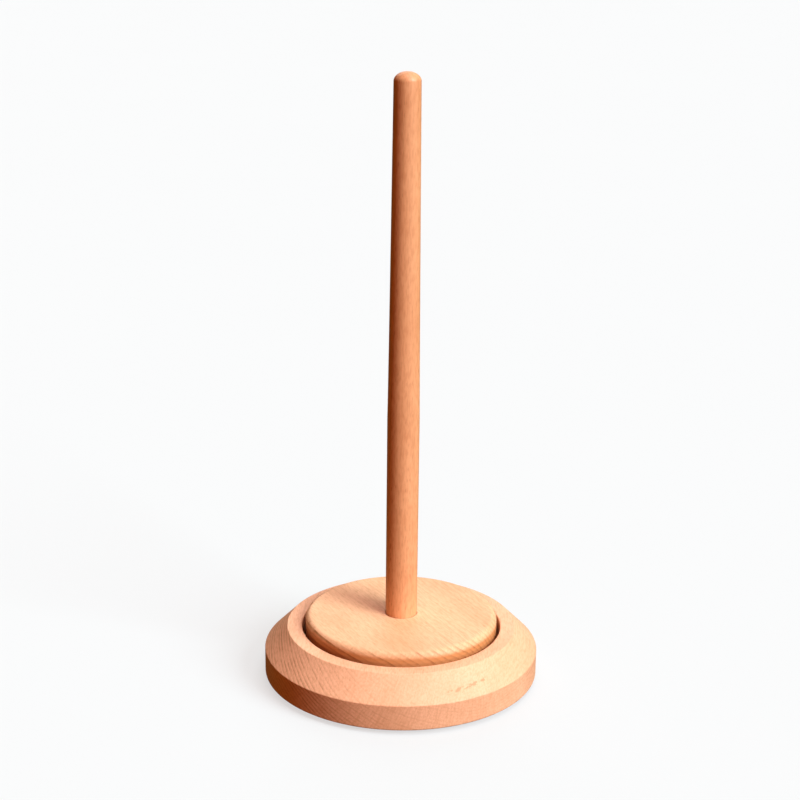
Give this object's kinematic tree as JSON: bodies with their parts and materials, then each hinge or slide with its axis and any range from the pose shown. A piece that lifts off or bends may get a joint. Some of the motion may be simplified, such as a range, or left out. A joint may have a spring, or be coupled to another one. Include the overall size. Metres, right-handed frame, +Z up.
{
  "type": "yarn holder",
  "caption": "Revolving wooden yarn holder: a tapered upright post on a turntable disc that spins in a recess of a round chamfered base.",
  "frame": {"origin": "centre of the circle that the feet stand on, on the plane of their undersides", "axes": "+Z up, along the post and the spin axis; the holder is round, so +X and +Y only set where the screws and feet stand"},
  "size_m": [0.14, 0.14, 0.3073],
  "materials": {
    "beech_base": "satin clear lacquer on steamed beech, growth rings on edge to the front",
    "beech_disc": "satin clear lacquer on steamed beech, fine straight figure",
    "beech_post": "satin clear lacquer on steamed beech, fibres along the post",
    "aluminium": "turned, matt",
    "zinc_plated_steel": "bright zinc plating",
    "ball_steel": "polished",
    "brass": "turned",
    "nylon": "natural",
    "rubber": "matt"
  },
  "bodies": {
    "base": {"base": "beech_base", "outer_race": "aluminium", "base_screw_1": "zinc_plated_steel", "base_screw_2": "zinc_plated_steel", "base_screw_3": "zinc_plated_steel", "base_screw_4": "zinc_plated_steel", "foot_1": "rubber", "foot_2": "rubber", "foot_3": "rubber", "foot_4": "rubber"},
    "turntable": {"disc": "beech_disc", "inner_race": "aluminium", "disc_screw_1": "zinc_plated_steel", "disc_screw_2": "zinc_plated_steel", "disc_screw_3": "zinc_plated_steel", "disc_screw_4": "zinc_plated_steel", "post": "beech_post", "post_stud": "zinc_plated_steel", "disc_insert": "brass"},
    "ball_set": {"ball_cage": "nylon", "ball_1": "ball_steel", "ball_2": "ball_steel", "ball_3": "ball_steel", "ball_4": "ball_steel", "ball_5": "ball_steel", "ball_6": "ball_steel", "ball_7": "ball_steel", "ball_8": "ball_steel", "ball_9": "ball_steel", "ball_10": "ball_steel", "ball_11": "ball_steel", "ball_12": "ball_steel"}
  },
  "joints": [
    {"name": "turntable_spin", "type": "hinge", "parent": "base", "child": "turntable", "pos_m": [0, 0, 0.0165], "axis": [0, 0, 1], "continuous": true},
    {"name": "ball_set_spin", "type": "hinge", "parent": "base", "child": "ball_set", "pos_m": [0, 0, 0.0165], "axis": [0, 0, 1], "continuous": true}
  ],
  "couplings": [
    {"joint": "ball_set_spin", "follows": "turntable_spin", "ratio": 0.4633}
  ]
}
